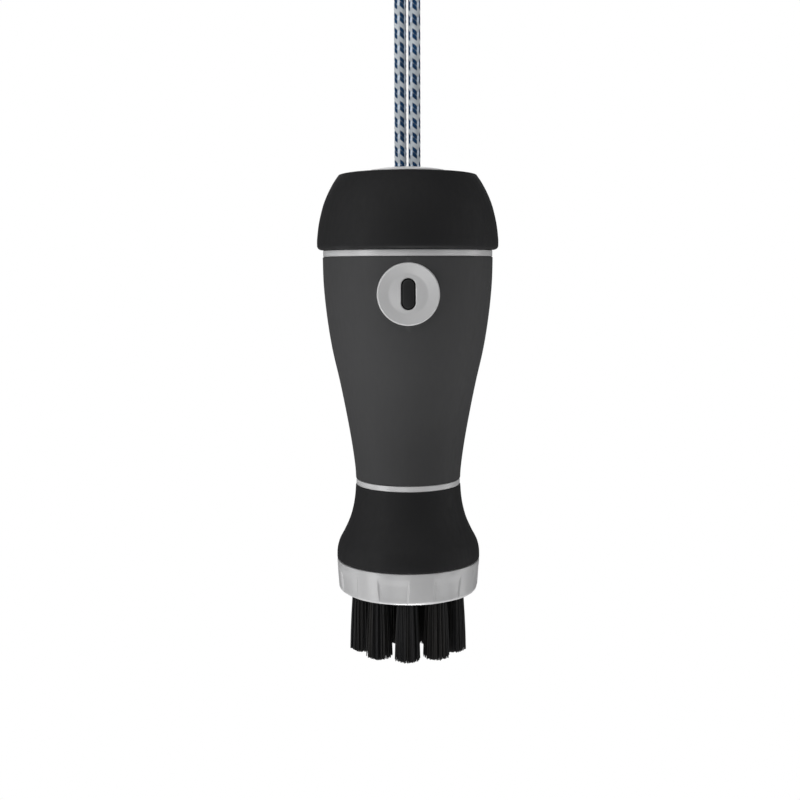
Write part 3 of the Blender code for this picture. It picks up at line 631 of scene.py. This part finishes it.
def hook_outline():
    """The snap hook's C shape as (y, z) in mm: outside round from the nose, then back along the inside."""
    steps = 32
    angles = np.linspace(0, math.pi, steps + 1)
    outside = [(-HOOK_OUTER, NOSE_Z - LIP_DROP)]
    outside += [(-HOOK_OUTER * math.cos(a), UPPER_CENTRE + HOOK_OUTER * math.sin(a)) for a in angles]
    outside += [(HOOK_OUTER * math.cos(a), LOWER_CENTRE - HOOK_OUTER * math.sin(a)) for a in angles]
    outside += [(-HOOK_OUTER, TAIL_Z)]
    inside = [(-HOOK_INNER, TAIL_Z)]
    inside += [(-HOOK_INNER * math.cos(a), LOWER_CENTRE - HOOK_INNER * math.sin(a)) for a in angles]
    right = np.linspace(0, math.acos(SEAT_HALF / HOOK_INNER), steps // 2)
    inside += [(HOOK_INNER * math.cos(a), UPPER_CENTRE + HOOK_INNER * math.sin(a)) for a in right]
    inside += [(-HOOK_INNER * math.cos(a), UPPER_CENTRE + HOOK_INNER * math.sin(a)) for a in reversed(right)]
    lip_y = -HOOK_OUTER + LIP_WALL
    return outside + inside + [(-HOOK_INNER, NOSE_Z), (lip_y, NOSE_Z), (lip_y, NOSE_Z - LIP_DROP)]


def make_hook():
    half = HOOK_THICKNESS / 2 * MM
    hook = prism("hook_body", [(-half, y * MM, z * MM) for y, z in hook_outline()], (2 * half, 0.0, 0.0))
    bevelled(hook, HOOK_BEVEL, 3, 60)
    pivot = arc((GATE_Y, -PIVOT_DEPTH), WIRE_RADIUS + PIVOT_PLAY, 0, 345, 23)
    hole = prism("pivot", [(-5 * MM, y * MM, z * MM) for y, z in pivot], (10 * MM, 0, 0))
    combine(hook, hole, "DIFFERENCE")
    return place(hook, "snap_hook")


def make_gate():
    """A loop of wire whose ends turn into the hook's pivot hole from both sides."""
    leg = HOOK_THICKNESS / 2 + WIRE_RADIUS + GAP
    half = [(GATE_END, -PIVOT_DEPTH)]
    half += arc((leg - GATE_BEND, -PIVOT_DEPTH + GATE_BEND), GATE_BEND, -90, 0, 6)
    half += arc((leg - GATE_BEND, -GATE_TOP - GATE_BEND), GATE_BEND, 0, 90, 6)
    path = half + [(-x, z) for x, z in reversed(half)]
    curve = bpy.data.curves.new("gate_wire", "CURVE")
    curve.dimensions = "3D"
    curve.bevel_depth = WIRE_RADIUS * MM
    curve.bevel_resolution = 6
    curve.use_fill_caps = True
    spline = curve.splines.new("POLY")
    spline.points.add(len(path) - 1)
    for target, (x, z) in zip(spline.points, path):
        target.co = (x * MM, GATE_Y * MM, z * MM, 1.0)
    gate = bpy.data.objects.new("gate_wire", curve)
    bpy.context.scene.collection.objects.link(gate)
    return place(gate, "wire_gate")


def make_knot():
    """A tight overhand stopper knot, as one short braid-coloured rope along a trefoil."""
    steps, sides = 120, 16
    t = np.linspace(0, 2 * math.pi, steps, endpoint=False)
    centres = np.stack([np.sin(t) + 2 * np.sin(2 * t), np.cos(t) - 2 * np.cos(2 * t), -np.sin(3 * t)], axis=1)
    centres *= KNOT_REACH
    tangents = np.gradient(np.vstack([centres[-1:], centres, centres[:1]]), axis=0)[1:-1]
    tangents /= np.linalg.norm(tangents, axis=1)[:, None]
    side = np.cross(tangents, [0.0, 0.0, 1.0])
    side /= np.linalg.norm(side, axis=1)[:, None]
    up = np.cross(side, tangents)
    columns = []
    for c, s, u in zip(centres, side, up):
        column = []
        for a in np.linspace(0, 2 * math.pi, sides, endpoint=False):
            x, y, z = (c + KNOT_THICK * (math.cos(a) * s + math.sin(a) * u)) * MM
            column.append((x, y, z + height(KNOT_DEPTH)))
        columns.append(column)
    knot = mesh_object("stopper_knot", *ring_grid(columns), 180)
    layer = knot.data.uv_layers.new(name="braid")
    for loop in knot.data.loops:
        column, k = divmod(loop.vertex_index, sides)
        layer.data[loop.index].uv = (k / sides * BRAID_COLUMNS, column * 0.3)
    return place(knot, "cord_knot")


hook, gate, knot = make_hook(), make_gate(), make_knot()


# ------------------------------------------------------------ cap

def dome_depth(radius):
    return DOME_CREST + DOME_RISE * (radius / DOME_RADIUS)**2


def make_cap():
    recess = GROMMET_RADIUS + GAP
    dome = [(r, dome_depth(r)) for r in np.linspace(recess + 0.15, DOME_RADIUS, 10)]
    floor = GROMMET_SEAT + GAP
    outline = [(CAP_HOLE, floor), (recess, floor), (recess, dome_depth(recess) + 0.12), *dome]
    widest = CAP_CURVE[-1][0]
    outline += [(min(r, widest), d) for r, d in catmull(CAP_CURVE, 8)[1:]]
    outline += arc((21.35, 18.85), 1.1, 8, 86, 10)
    outline += [(20.9, CAP_BOTTOM), (CAP_BORE + 0.2, CAP_BOTTOM), (CAP_BORE, CAP_BOTTOM - 0.2)]
    outline += [(CAP_BORE, 8.4), (17.6, 5.4), (15.4, CAP_CEILING), (CAP_HOLE, CAP_CEILING)]
    place(turned("cap", outline, 160), "cap_shell")


def make_grommet():
    """The insert that the cord runs through: a thin crowned button with a pill-shaped hole."""
    length, width = 2 * (STRAND_X + CORD_DIAMETER / 2 + GAP), CORD_DIAMETER + 2 * GAP
    edge, crest = GROMMET_EDGE, GROMMET_CREST

    def section(angle):
        hole = stadium_radius(width, length, angle + math.pi / 2)
        crown = [(r, crest + (edge - crest) * (r / GROMMET_RADIUS)**2.2)
                 for r in np.linspace(hole + 0.35, GROMMET_RADIUS - 0.3, 10)]
        lip = [(hole, GROMMET_FOOT - 0.1), (hole, crest + 0.3), (hole + 0.1, crest + 0.08)]
        rim = [(GROMMET_RADIUS - 0.06, edge + 0.02), (GROMMET_RADIUS, edge + 0.15),
               (GROMMET_RADIUS, GROMMET_SEAT)]
        spigot = [(GROMMET_SPIGOT, GROMMET_SEAT), (GROMMET_SPIGOT, GROMMET_FOOT - 0.2),
                  (GROMMET_SPIGOT - 0.15, GROMMET_FOOT), (hole + 0.15, GROMMET_FOOT)]
        return lip + crown + rim + spigot

    angles = np.linspace(0, 2 * math.pi, 144, endpoint=False)
    place(section_ring("grommet", angles, section), "cord_grommet", "insert_pale")


def make_trim_rings():
    top, low, inner = TRIM_TOP, TRIM_BOTTOM, NECK_RADIUS + 0.4
    lip = SLEEVE_CURVE[0][0] - SLEEVE_WALL - GAP
    outline = [(inner, top), (TRIM_RADIUS - 0.2, top)] + arc((TRIM_RADIUS - 0.2, top + 0.2), 0.2, -90, 0, 4)
    outline += arc((TRIM_RADIUS - 0.2, low - 0.2), 0.2, 0, 90, 4)
    outline += [(lip, low), (lip, TRIM_LIP), (lip - 0.4, TRIM_LIP), (lip - 0.4, low), (inner, low)]
    # Both rings take the lighter band finish, painted light against the shade under the cap.
    place(turned("upper_ring", outline, 160), "upper_trim_ring", "band_grey_painted_light")
    top, low, inner = WAIST_TOP, WAIST_BOTTOM, OUTLET_RADIUS + GAP
    outline = [(inner, top)] + arc((WAIST_RADIUS - 0.2, top + 0.2), 0.2, -90, 0, 4)
    outline += arc((WAIST_RADIUS - 0.2, low - 0.2), 0.2, 0, 90, 4) + [(inner, low)]
    place(turned("waist_band", outline, 144), "waist_ring", "band_grey_painted_light")


# ------------------------------------------------------------ body

def port_cutter(name, radius, front, back):
    """A cylinder along the button's axis, between two values of Y."""
    ring = [(x * MM, front * MM, height(BUTTON_DEPTH) + z * MM)
            for x, z in arc((0, 0), radius, 0, 360, 96)[:-1]]
    return prism(name, ring, (0, (back - front) * MM, 0))


def make_sleeve():
    outer = catmull(SLEEVE_CURVE, 7)
    wall = [(r - SLEEVE_WALL, d) for r, d in reversed(catmull(SLEEVE_CURVE, 2))]
    top, low = outer[0], outer[-1]
    outline = [(top[0] - 0.25, top[1]), (top[0] - 0.06, top[1] + 0.06), (top[0], top[1] + 0.25)]
    outline += outer[1:-1] + [(low[0], low[1] - 0.2), (low[0] - 0.2, low[1])] + wall
    sleeve = turned("sleeve", outline, 160)
    combine(sleeve, port_cutter("port", PORT_RIM, PORT_FRONT, PORT_BACK), "DIFFERENCE")
    place(sleeve, "body_sleeve")


def make_tank():
    """The reservoir, whose threaded neck shows when the cap is unscrewed."""
    shoulder, shoulder_depth = TANK_SHOULDER
    body = [(radius_at(SLEEVE_CURVE, d) - SLEEVE_WALL - TANK_GAP, d) for d in TANK_STATIONS]
    outside = [(NECK_BORE + 0.4, NECK_RIM), (NECK_RADIUS - 0.3, NECK_RIM), (NECK_RADIUS, NECK_RIM + 0.3),
               (NECK_RADIUS, 21.75), (18.4, 21.75), TANK_SHOULDER, *body, (TANK_FOOT, TANK_BOTTOM),
               (OUTLET_RADIUS, TANK_BOTTOM), (OUTLET_RADIUS, OUTLET_END)]
    inside = [(OUTLET_BORE, OUTLET_END), (OUTLET_BORE, TANK_BOTTOM - TANK_WALL), (9.6, TANK_BOTTOM - 1.7)]
    inside += [(r - TANK_WALL, d) for r, d in reversed(body)]
    inside += [(NECK_BORE, 22.4), (NECK_BORE, NECK_RIM + 0.3)]
    tank = turned("tank", outside + inside, 96)
    envelope = solid_turned("envelope", [(0.0, shoulder_depth), (shoulder, shoulder_depth), *body,
                                         (TANK_FOOT, TANK_BOTTOM), (0.0, TANK_BOTTOM)])
    boss = port_cutter("boss", PORT_RADIUS + BOSS_WALL, BOSS_FRONT, BOSS_BACK)
    combine(boss, envelope, "INTERSECT")
    combine(tank, boss, "UNION")
    combine(tank, port_cutter("bore", PORT_RADIUS, PORT_FRONT, PORT_BACK), "DIFFERENCE")
    ridge = helix_ridge("neck_ridge", NECK_RADIUS - 0.4, NECK_CREST, NECK_THREAD_DEPTH, NECK_PITCH,
                        0.4, 1.9, 1.5, 0.8)
    combine(tank, ridge, "UNION")
    place(tank, "reservoir")


# ------------------------------------------------------------ button

def make_bezel():
    """A dished ring whose middle rises again to the pill-shaped slot."""

    def dish(radius):
        if radius > DISH_RADIUS:
            share = (radius - DISH_RADIUS) / (BEZEL_RADIUS - 0.3 - DISH_RADIUS)
            return BEZEL_FACE + DISH_DEPTH * (1 - share)
        share = (radius - DISH_MIDDLE) / (DISH_RADIUS - DISH_MIDDLE)
        return BEZEL_FACE + MIDDLE_DEPTH + (DISH_DEPTH - MIDDLE_DEPTH) * share

    def section(angle):
        slot = stadium_radius(SLOT_WIDTH, SLOT_HEIGHT, angle)
        slot_face = dish(slot + 0.3)
        points = [(slot, BEZEL_BACK), (slot, slot_face + 0.28), (slot + 0.09, slot_face + 0.09)]
        points += [(r, dish(r)) for r in np.linspace(slot + 0.28, DISH_RADIUS - 0.1, 8)]
        points += [(DISH_RADIUS, dish(DISH_RADIUS) - 0.02)]
        points += [(r, dish(r)) for r in np.linspace(DISH_RADIUS + 0.1, BEZEL_RADIUS - 0.45, 10)]
        points += [(BEZEL_RADIUS - 0.3, BEZEL_FACE), (BEZEL_RADIUS - 0.12, BEZEL_FACE + 0.1),
                   (BEZEL_RADIUS, BEZEL_FACE + 0.32)]
        return points + [(BEZEL_RADIUS, BEZEL_SKIRT), (BEZEL_BORE, BEZEL_SKIRT), (BEZEL_BORE, BEZEL_BACK)]

    angles = np.linspace(0, 2 * math.pi, 168, endpoint=False)
    place(section_ring("bezel", angles, section, across=True, sharp=30), "button_bezel", "bezel_grey")


def make_button():
    """The pill that a thumb pushes, on a round flange with a boss for the stem."""
    stem = STEM_RADIUS + GAP
    flange = [(0, -19.6), (5.0, -19.6), (5.2, -19.4), (5.2, -18.6), (2.3, -18.6), (2.3, -17.1), (stem, -17.1),
              (stem, -18.7), (0, -18.7)]
    body = solid_turned("thumb_button_piece", flange, 64, True)
    outline = [(x * MM, PILL_FACE * MM, height(BUTTON_DEPTH) + z * MM)
               for x, z in stadium(PILL_WIDTH, PILL_HEIGHT)]
    pill = prism("pill", outline, (0, PILL_DEEP * MM, 0))
    bevelled(pill, 0.32, 4, 60)
    combine(body, pill, "UNION")
    place(body, "button")


def make_spring():
    """The button's return spring, which shortens towards its seat as the button goes in; here it is built at
    rest and given a mesh of its own.
    """
    turns = np.linspace(0, SPRING_TURNS, round(SPRING_TURNS * 32) + 1)
    columns = []
    for turn in turns:
        middle = SPRING_FRONT + (SPRING_BACK - SPRING_FRONT) * turn / SPRING_TURNS
        cos, sin = math.cos(2 * math.pi * turn), math.sin(2 * math.pi * turn)
        columns.append([(r * MM * cos, y * MM, height(BUTTON_DEPTH) + r * MM * sin)
                        for r, y in arc((SPRING_RADIUS, middle), SPRING_WIRE, 0, 330, 11)])
    spring = place(open_strip("return_spring", columns), "button_spring")
    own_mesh(spring)


# ------------------------------------------------------------ brush head

def make_collar():
    outer = catmull(COLLAR_CURVE, 8)
    outline = [(13.05, COLLAR_TOP), (13.2, 78.68), (13.25, 78.9)] + outer[4:-2]
    outline += [(18.12, 97.2), (18.0, 97.45), (17.8, COLLAR_FOOT), (SPIGOT_RADIUS, COLLAR_FOOT),
                (SPIGOT_RADIUS, SPIGOT_END), (COLLAR_BORE, SPIGOT_END), (COLLAR_BORE, 97.6)]
    outline += [(15.4, 94.0), (13.5, 89.5), (12.2, 85.5), (11.5, 80.2), (OUTLET_RADIUS + GAP, 80.2),
                (OUTLET_RADIUS + GAP, COLLAR_TOP)]
    collar = turned("flared_collar", outline, 160)
    ridge = helix_ridge("spigot_ridge", SPIGOT_RADIUS - 0.4, SPIGOT_CREST, HEAD_THREAD_DEPTH, HEAD_PITCH,
                        0.0, 1.0, 0.8, 0.4)
    combine(collar, ridge, "UNION")
    place(collar, "collar")


def recess_share(angle, depth):
    """1 on the floor of a finger recess, 0 outside it; the side walls are short and the top fades in."""
    period = 2 * math.pi / RECESSES
    centre = math.radians(RECESS_CENTRE - 90)
    offset = (angle - centre + period / 2) % period - period / 2
    across = abs(offset) * GRIP_RADIUS
    narrowing = (depth - RECESS_TOP) / (GRIP_BOTTOM - RECESS_TOP)
    half = math.radians(RECESS_HALF_TOP + (RECESS_HALF_BOTTOM - RECESS_HALF_TOP) * narrowing) * GRIP_RADIUS
    return float(smoothstep(half - across, 0.0, 0.5) * smoothstep(depth, RECESS_TOP, RECESS_TOP + 2.4))


def recess_angles():
    """Angles round the grip ring, closer together at the recess walls."""
    period = 2 * math.pi / RECESSES
    wall = math.radians((RECESS_HALF_TOP + RECESS_HALF_BOTTOM) / 2)
    even = np.linspace(-period / 2, period / 2, 24, endpoint=False)
    walls = [side * wall + math.radians(s) for side in (-1, 1) for s in np.linspace(-2.2, 1.4, 15)]
    local = np.unique(np.round(np.r_[even, walls], 5))
    centre = math.radians(RECESS_CENTRE - 90)
    return np.concatenate([centre + i * period + local for i in range(RECESSES)])


def grip_radius(depth):
    """The grip ring's outer radius between its rounded edges, recesses left out."""
    radius, middle = GRIP_MIDDLE
    taper = GRIP_TAPER_ABOVE if depth < middle else GRIP_TAPER_BELOW
    return radius + taper * (middle - depth)


def make_grip_ring():
    depths = np.r_[97.95, 98.4, np.linspace(98.8, 100.6, 10), np.linspace(101.2, 104.5, 8)]
    outer = [(grip_radius(depth), depth) for depth in depths]
    round_edge = arc((16.5, 104.45), 1.2, 12, 90, 10)

    def section(angle):
        points = [(GRIP_BORE, GRIP_TOP), (GRIP_RADIUS - 0.25, GRIP_TOP),
                  (GRIP_RADIUS - 0.06, GRIP_TOP + 0.07)]
        for radius, depth in outer + round_edge:
            fade = 1 - 0.75 * smoothstep(depth, 103.6, GRIP_BOTTOM)
            points.append((radius - RECESS_DEPTH * fade * recess_share(angle, depth), depth))
        return points + [(15.65, GRIP_BOTTOM), (15.38, 105.55), (15.25, 105.3), (15.25, 104.0),
                         (GRIP_BORE, 104.0)]

    ring = section_ring("finger_ring", recess_angles(), section, sharp=30)
    place(ring, "grip_ring")


OUTER_PLACES = around(OUTER_TUFTS, OUTER_RING, TUFTS_FROM)
INNER_PLACES = around(INNER_TUFTS, INNER_RING, TUFTS_FROM)


def make_plate():
    outline = [(0.0, PLATE_TOP), (PLATE_RADIUS, PLATE_TOP), (PLATE_RADIUS, PLATE_STEP),
               (PLATE_BOSS, PLATE_STEP), (PLATE_BOSS, PLATE_FACE - 0.15), (PLATE_BOSS - 0.15, PLATE_FACE),
               (0.0, PLATE_FACE)]
    plate = solid_turned("tuft_plate", outline, 96)
    for number, centre in enumerate(OUTER_PLACES + INNER_PLACES):
        hole = cylinder(f"hole_{number}", HOLE_RADIUS, HOLE_TOP, PLATE_FACE + 1.0, centre, 28)
        combine(plate, hole, "DIFFERENCE")
    for number, centre in enumerate([(0.0, 0.0)] + around(INNER_TUFTS, DRAIN_RING, DRAINS_FROM)):
        drain = cylinder(f"drain_{number}", DRAIN_RADIUS, PLATE_TOP - 0.9, PLATE_FACE + 1.0, centre, 16)
        combine(plate, drain, "DIFFERENCE")
    place(plate, "brush_plate")


def make_tuft(number, centre, tip_depth, tip_radius, filaments):
    """One bundle of nylon filaments, packed in its hole and splaying to a slightly domed, uneven cut."""
    sides, rows = 5, 5
    order = np.arange(filaments)
    share = np.sqrt((order + 0.6) / filaments)
    angle = order * math.pi * (3 - math.sqrt(5)) + RANDOM.normal(0, 0.12, filaments)
    sway = RANDOM.normal(0, 0.07, (filaments, 2)) * (1 - 0.8 * share)[:, None]
    tip_share = np.clip(share + RANDOM.normal(0, 0.035, filaments), 0.03, 1.0)
    notches = 0.22 * np.sin(angle * 3 + 2.1 * number) * np.sin(angle * 7 + number) * share
    short = np.abs(RANDOM.normal(0, 0.13, filaments)) + 0.5 * (RANDOM.random(filaments) < 0.05)
    cut = tip_depth - 0.03 - 0.75 * share**2.6 - np.abs(notches) - short
    ring_angles = np.linspace(0, 2 * math.pi, sides, endpoint=False)
    vertices, faces = [], []
    for i in range(filaments):
        for row, t in enumerate(np.linspace(0, 1, rows)):
            root = share[i] * (TUFT_ROOT_RADIUS - FILAMENT_RADIUS)
            tip = tip_share[i] * (tip_radius - FILAMENT_RADIUS)
            radius = root + (tip - root) * t**0.6
            bend = math.sin(math.pi * t)
            x = centre[0] + radius * math.cos(angle[i]) + sway[i, 0] * bend
            y = centre[1] + radius * math.sin(angle[i]) + sway[i, 1] * bend
            depth = TUFT_ROOT + (cut[i] - TUFT_ROOT) * t
            girth = FILAMENT_RADIUS * (0.7 if row == rows - 1 else 1.0)
            vertices += [((x + girth * math.cos(a)) * MM, (y + girth * math.sin(a)) * MM, height(depth))
                         for a in ring_angles]
        start = i * rows * sides
        for row in range(rows - 1):
            for k in range(sides):
                a, m = start + row * sides, (k + 1) % sides
                faces.append((a + k, a + m, a + sides + m, a + sides + k))
        last = start + (rows - 1) * sides
        faces += [tuple(range(start, start + sides)), tuple(range(last, last + sides))]
    place(mesh_object(f"bristles_{number:02d}", vertices, faces, 60), f"tuft_{number:02d}")


def make_tufts():
    tufts = [(centre, OUTER_TIP, OUTER_TIP_RADIUS, OUTER_FILAMENTS) for centre in OUTER_PLACES]
    tufts += [(centre, INNER_TIP, INNER_TIP_RADIUS, INNER_FILAMENTS) for centre in INNER_PLACES]
    for number, tuft in enumerate(tufts, 1):
        make_tuft(number, *tuft)


# ------------------------------------------------------------ floor, light and background

LIGHT_DISTANCE, LIGHT_AIM = 0.9, 63.0  # metres from the handle's axis, and the depth that lights point at
SURROUND = 0.135  # strength of the even light from all round
LIGHTS = [  # name, degrees from the front towards +X, degrees up, width and height in metres, watts
    ("left", -58, 0, 0.35, 1.2, 3.6),
    ("left_side", -95, 0, 0.35, 1.2, 1.1),
    ("front", -12, -30, 0.35, 1.0, 1.2),
    ("right", 60, 0, 0.35, 1.2, 1.5),
    ("right_side", 95, 0, 0.35, 1.2, 2.0),
    ("back", 180, 35, 0.6, 0.6, 1.5),
    ("upper_left", -60, 45, 0.5, 0.5, 1.2),
    ("top", 0, 55, 0.7, 0.5, 1.7),
    ("under", 0, -90, 0.3, 0.3, 7.0),
]


def soft_box(name, location, facing, width, tall, power):
    data = bpy.data.lights.new(name, "AREA")
    data.shape = "RECTANGLE"
    data.size, data.size_y = width, tall
    data.energy = power
    light = bpy.data.objects.new(name, data)
    bpy.context.scene.collection.objects.link(light)
    light.location = location
    light.rotation_mode = "QUATERNION"
    light.rotation_quaternion = facing.to_track_quat("-Z", "Y")
    light.visible_camera = False


def make_light(name, azimuth, elevation, width, tall, power):
    """A soft box that faces the handle."""
    azimuth, elevation = math.radians(azimuth), math.radians(elevation)
    way = Vector((math.sin(azimuth) * math.cos(elevation), -math.cos(azimuth) * math.cos(elevation),
                  math.sin(elevation)))
    soft_box(name, Vector((0.0, 0.0, height(LIGHT_AIM))) + way * LIGHT_DISTANCE, -way, width, tall, power)


def make_floor():
    """A plain pale floor well below the hanging brush, with a soft box of its own under the brush."""
    half, level, thick = 0.8, -1.1, 0.01
    soft_box("floor_wash", Vector((0.0, 0.0, level + 0.7)), Vector((0.0, 0.0, -1.0)), 1.6, 1.6, 7.0)
    corners = [(-half, -half, level), (half, -half, level), (half, half, level), (-half, half, level)]
    floor = prism("floor", corners, (0, 0, -thick))
    n = Nodes("pale_floor")
    tone = n.noise(6.0, 3.0)
    floor.data.materials.append(n.set(Base_Color=n.mix(tone, (0.80, 0.80, 0.79), (0.84, 0.84, 0.83)),
                                      Roughness=n.between(tone, 0.7, 0.85)))


def make_world():
    """White behind the brush, and a dimmer even surround that lights it."""
    world = bpy.data.worlds.new("studio")
    bpy.context.scene.world = world
    world.use_nodes = True
    tree = world.node_tree
    tree.nodes.clear()
    output = tree.nodes.new("ShaderNodeOutputWorld")
    mix = tree.nodes.new("ShaderNodeMixShader")
    surround, backdrop = tree.nodes.new("ShaderNodeBackground"), tree.nodes.new("ShaderNodeBackground")
    for background, strength in ((surround, SURROUND), (backdrop, 1.0)):
        background.inputs["Color"].default_value = (1.0, 1.0, 1.0, 1.0)
        background.inputs["Strength"].default_value = strength
    path = tree.nodes.new("ShaderNodeLightPath")
    tree.links.new(path.outputs["Is Camera Ray"], mix.inputs[0])
    tree.links.new(surround.outputs[0], mix.inputs[1])
    tree.links.new(backdrop.outputs[0], mix.inputs[2])
    tree.links.new(mix.outputs[0], output.inputs[0])


make_cap()
make_grommet()
make_trim_rings()
make_sleeve()
make_tank()
make_bezel()
make_button()
make_spring()
make_collar()
make_grip_ring()
make_plate()
make_tufts()
for node in frame["nodes"].values():
    node.material_slots[0].material = MATERIALS[SLOT_OF_NODE[node.name]]

make_floor()
make_world()
for light in LIGHTS:
    make_light(*light)
bpy.context.scene.view_settings.view_transform = "Standard"
